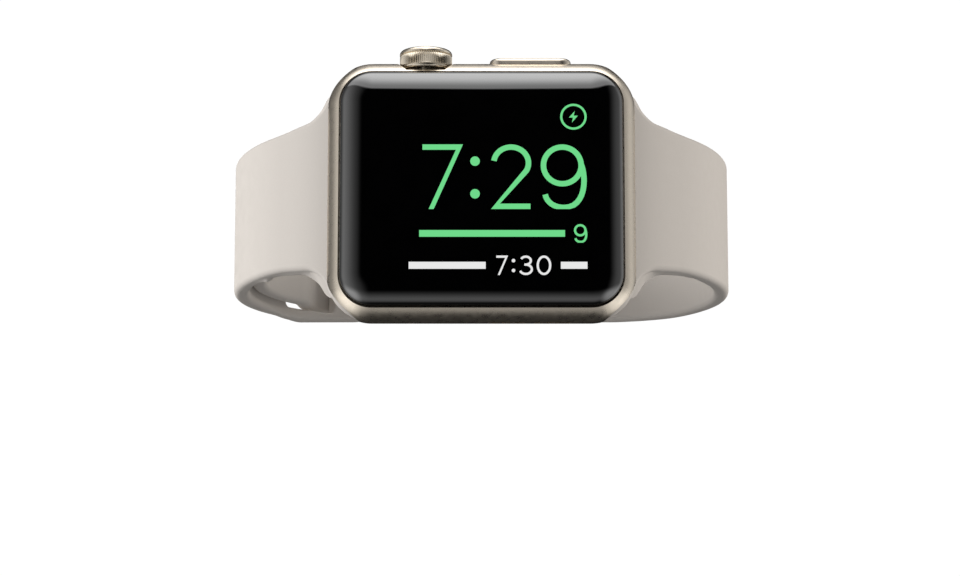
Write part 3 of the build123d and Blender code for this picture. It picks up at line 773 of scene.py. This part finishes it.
def lug(side):
    """The rubber bar in the case's channel, its ends following the case's corners."""
    steps = 48

    def end_height(x, y):
        bulge = math.sqrt(max(0.0, SIDE_RADIUS**2 - y**2)) - SIDE_RADIUS
        corner = CASE_CORNER + bulge
        past = min(1.0, max(0.0, (abs(x) - (CASE_X / 2 + bulge - corner)) / corner))
        return CASE_Z / 2 + bulge - corner * (1 - math.sqrt(1 - past**2)) - LUG_SHORT

    rings = []
    for direction in (1, -1):
        for share, inset in LUG_CAP[::-direction]:
            ring = []
            for k in range(steps):
                a = 2 * math.pi * k / steps
                x = CHANNEL_X + LUG_RADIUS * share * math.cos(a)
                y = CHANNEL_Y + LUG_RADIUS * share * math.sin(a)
                if x < LUG_FLAT_X:
                    y = min(y, LUG_FLAT_Y)
                ring.append((side * x, y, direction * (end_height(x, y) - inset)))
            rings.append(ring)
    return loft(rings)


def latch_pocket(side):
    """Room for the sprung catch that the latch button presses."""
    (x0, x1), (y0, y1) = POCKET_X, POCKET_Y
    corners = ((x0, y0), (x1, y0), (x1, y1), (x0, y1))
    return loft([[(side * x, y, z) for x, y in corners] for z in (-POCKET_HALF_Z, POCKET_HALF_Z)])


def lug_piece(name, side, body):
    """An end bar with its pocket cut."""
    bar = piece(name, *lug(side), body, "stone_rubber", rubber)
    cut(bar, [latch_pocket(side)])
    shade(bar.data, 40.0)


def pin_strap():
    """The short strap with the pin and the slot, and its end bar."""
    tip = tip_stations(PIN_TIP_S, 1, PIN_TIP_CORNER)
    bend_start = HALF_LOOP - BEND_LENGTH
    rest = [(s, 0.0) for s in spread(PIN_TIP_S + PIN_TIP_CORNER, bend_start, 0.5)[1:]]
    rest += [(s, 0.0) for s in spread(bend_start, HALF_LOOP + INTO_LUG, 0.3)[1:]]
    rings = [PIN_STRAP.ring(s, inset) for s, inset in tip + rest]
    obj = piece("pin_strap_rubber", *loft(rings), "left_strap", "stone_rubber", rubber)
    cut(obj, [cutter(window_hole(), pin_layer, CUT_LIP)])
    settle(obj)
    lug_piece("pin_strap_lug", -1, "left_strap")
    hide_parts("pin_strap")


def long_strap():
    """The long strap with the row of holes, and its end bar."""
    bend_end, closure_start, closure_end = -HALF_LOOP + BEND_LENGTH, RAMP_START_S - 1, DIVE_END_S + 1
    head = [(s, 0.0) for s in spread(-HALF_LOOP - INTO_LUG, bend_end, 0.3)[:-1]]
    middle = [(s, 0.0) for s in spread(bend_end, closure_start, 0.7)[:-1]]
    closure = [(s, 0.0) for s in spread(closure_start, closure_end, 0.35)[:-1]]
    tail = [(s, 0.0) for s in spread(closure_end, TAIL_TIP_S - TAIL_TIP_CORNER, 0.6)[:-1]]
    tip = list(reversed(tip_stations(TAIL_TIP_S, -1, TAIL_TIP_CORNER)))
    rings = [LONG_STRAP.ring(s, inset) for s, inset in head + middle + closure + tail + tip]
    obj = piece("long_strap_rubber", *loft(rings), "right_strap", "stone_rubber", rubber)
    places = [STUD_S + k * HOLE_PITCH for k in range(-HOLES_BEFORE, HOLES_AFTER + 1)]
    cut(obj, [cutter(round_hole(s, HOLE_RADIUS), long_layer, CUT_LIP) for s in places])
    settle(obj)
    lug_piece("long_strap_lug", 1, "right_strap")
    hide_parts("long_strap")


# ------------------------------------------------------------------ studio


FLOOR_GLOW = 0.96
WHITE, WARM_WHITE = (1.0, 1.0, 1.0), (1.0, 0.965, 0.92)
LAMP_SIZE, LAMP_ASIDE, LAMP_BACK, LAMP_HEIGHT = 0.35, 0.75, 0.10, 0.14  # metres


def studio():
    """A pale, self-lit floor that curves up into a backdrop all round. It takes no part in the lighting."""
    radius, bend, height, under_watch = 1.1, 0.5, 1.6, 0.25
    profile = [(0.0, 0.0), (under_watch, 0.0), (radius - bend, 0.0)]
    profile += [
        (radius - bend + bend * math.sin(a), bend * (1 - math.cos(a)))
        for a in [math.radians(90 * k / 12) for k in range(1, 13)]
    ]
    profile.append((radius, height))
    steps = 96
    verts, faces = [(0.0, 0.0, 0.0)], []
    for r, z in profile[1:]:
        angles = [2 * math.pi * k / steps for k in range(steps)]
        verts += [(r * math.cos(a), r * math.sin(a), z) for a in angles]
    faces += [(0, 1 + k, 1 + (k + 1) % steps) for k in range(steps)]
    for n in range(len(profile) - 2):
        a, b = 1 + n * steps, 1 + (n + 1) * steps
        faces += [(a + k, b + k, b + (k + 1) % steps, a + (k + 1) % steps) for k in range(steps)]
    mesh = bpy.data.meshes.new("studio_floor")
    mesh.from_pydata(verts, [], faces)
    mesh.shade_smooth()
    floor = bpy.data.objects.new("studio_floor", mesh)
    bpy.context.scene.collection.objects.link(floor)
    pale = surface("studio_pale", (0.10, 0.10, 0.10), 0.9, 40, spread=0.01, height=0.0, Specular_IOR_Level=0.0)
    shader = pale.node_tree.nodes["Principled BSDF"]
    shader.inputs["Emission Color"].default_value = (1.0, 1.0, 1.0, 1.0)
    shader.inputs["Emission Strength"].default_value = FLOOR_GLOW
    mesh.materials.append(pale)
    floor.visible_glossy = False
    floor.visible_diffuse = False
    floor.visible_shadow = False


class Field:
    """A number worked out in the world's nodes from the direction that a ray looks in."""

    def __init__(self, nodes, links):
        self.nodes, self.links = nodes, links
        place = nodes.new("ShaderNodeTexCoord")
        split = nodes.new("ShaderNodeSeparateXYZ")
        links.new(place.outputs["Generated"], split.inputs["Vector"])
        self.axes = {axis: split.outputs[axis] for axis in "XYZ"}

    def band(self, axis, low, high, level=1.0, rest=0.0):
        """Goes smoothly from rest to level as the direction's axis goes from low to high."""
        return self.band_of(self.axes[axis], low, high, level, rest)

    def band_of(self, value, low, high, level=1.0, rest=0.0):
        """The same for any value."""
        node = self.nodes.new("ShaderNodeMapRange")
        node.interpolation_type = "SMOOTHSTEP"
        for socket, number in zip(("From Min", "From Max", "To Min", "To Max"), (low, high, rest, level)):
            node.inputs[socket].default_value = number
        self.links.new(value, node.inputs["Value"])
        return node.outputs["Result"]

    def number(self, operation, first, second=0.0):
        """One sum on values or plain numbers."""
        node = self.nodes.new("ShaderNodeMath")
        node.operation = operation
        for socket, source in zip(node.inputs, (first, second)):
            if isinstance(source, float):
                socket.default_value = source
            else:
                self.links.new(source, socket)
        return node.outputs["Value"]

    def combine(self, operation, *sources):
        """The same sum on three or more, one after another."""
        result = sources[0]
        for source in sources[1:]:
            result = self.number(operation, result, source)
        return result


def shiny_strength(field):
    """What shiny surfaces reflect: a light on each side, a bright top, and weaker light from below."""
    wide_side, near_side = field.band("X", -0.15, -1.15, 0.90), field.band("X", -0.06, -0.30, 0.10)
    side = field.combine("ADD", wide_side, near_side)
    left = field.combine("MULTIPLY", side, field.band("Y", -0.3, 0.35, 0.28, 1.0))
    right = field.combine("MULTIPLY", field.band("X", 0.40, 0.95), field.band("Y", -0.3, 0.3, 0.78, 0.35))
    slope = field.number("SUBTRACT", 0.3, field.number("MULTIPLY", field.axes["Y"], 0.5))
    lean_in = field.combine("ADD", slope, field.band("Y", 0.15, 0.6, 0.8))
    spread_out = field.number("MULTIPLY", field.number("ABSOLUTE", field.axes["X"]), lean_in)
    upward = field.number("SUBTRACT", field.axes["Z"], spread_out)
    high = field.combine("ADD", field.band_of(upward, 0.45, 0.52, 1.2), field.band_of(upward, 0.55, 0.97, 2.4))
    nearer, farther = field.band("Y", 0.12, 0.47, 0.30, 1.0), field.band("Y", 0.47, 0.9, 0.5, 1.0)
    top = field.combine("MULTIPLY", high, field.combine("MULTIPLY", nearer, farther))
    low = field.combine("MULTIPLY", field.band("Z", -0.1, -0.8, 0.5), field.band("Y", -0.75, 0.0, 0.05, 1.0))
    beside = field.combine("ADD", field.band("X", -0.3, -0.65), field.band("X", 0.3, 0.65))
    below, ahead = field.band("Z", -0.15, -0.5, 0.9), field.band("Y", 0.0, 0.7, 0.0, 1.0)
    corners = field.combine("MULTIPLY", beside, below, ahead)
    return field.combine("ADD", left, right, top, low, corners)


def dull_strength(field):
    """What lights dull surfaces: soft light from both sides and from above."""
    sides = field.combine("ADD", field.band("X", -0.1, -0.9, 0.45), field.band("X", 0.1, 0.9, 0.20))
    return field.combine("ADD", sides, field.band("Z", -0.1, 0.9, 0.45, 0.28))


def sky():
    """Shiny and dull surfaces see different fields of light."""
    world = bpy.data.worlds.new("studio")
    bpy.context.scene.world = world
    world.use_nodes = True
    nodes, links = world.node_tree.nodes, world.node_tree.links
    nodes.clear()
    field = Field(nodes, links)
    path = nodes.new("ShaderNodeLightPath")
    mix = nodes.new("ShaderNodeMixShader")
    links.new(path.outputs["Is Glossy Ray"], mix.inputs["Fac"])
    for socket, strength in ((1, dull_strength(field)), (2, shiny_strength(field))):
        background = nodes.new("ShaderNodeBackground")
        links.new(strength, background.inputs["Strength"])
        links.new(background.outputs["Background"], mix.inputs[socket])
    output = nodes.new("ShaderNodeOutputWorld")
    links.new(mix.outputs["Shader"], output.inputs["Surface"])


def lamp(name, place, aim, size, power, colour):
    """A round soft light that isn't seen in reflections."""
    light = bpy.data.lights.new(name, "AREA")
    light.shape = "DISK"
    light.size = size
    light.energy = power
    light.color = colour
    obj = bpy.data.objects.new(name, light)
    bpy.context.scene.collection.objects.link(obj)
    obj.location = place
    obj.rotation_euler = (Vector(aim) - Vector(place)).to_track_quat("-Z", "Y").to_euler()
    obj.visible_glossy = False


def camera():
    """Just above the table in front of the screen, looking very slightly up."""
    middle = TO_ROW @ Vector((0.0, 0.0, 0.0))
    distance, height, aside, pitch = 0.385, 0.0015, -0.00019, 0.50  # metres, and degrees for the pitch
    data = bpy.data.cameras.new("camera")
    data.sensor_width, data.lens = 36.0, 106.05
    data.dof.use_dof = False
    data.clip_start, data.clip_end = 0.01, 20.0
    obj = bpy.data.objects.new("camera", data)
    bpy.context.scene.collection.objects.link(obj)
    obj.location = (middle.x + aside, middle.y - distance, height)
    obj.rotation_euler = (math.radians(90 + pitch), 0.0, 0.0)
    bpy.context.scene.camera = obj


def main():
    finish_cad_nodes()
    cover_glass()
    readout()
    crown()
    side_button()
    pin_strap()
    long_strap()
    studio()
    sky()
    middle = TO_ROW @ Vector((0.0, 10.0, 0.0))
    lamp("key_left", (-LAMP_ASIDE, LAMP_BACK, LAMP_HEIGHT), middle, LAMP_SIZE, 5.7, WHITE)
    lamp("key_right", (LAMP_ASIDE, LAMP_BACK, LAMP_HEIGHT), middle, LAMP_SIZE, 3.9, WARM_WHITE)
    camera()
    bpy.context.scene.view_settings.view_transform = "Standard"


main()
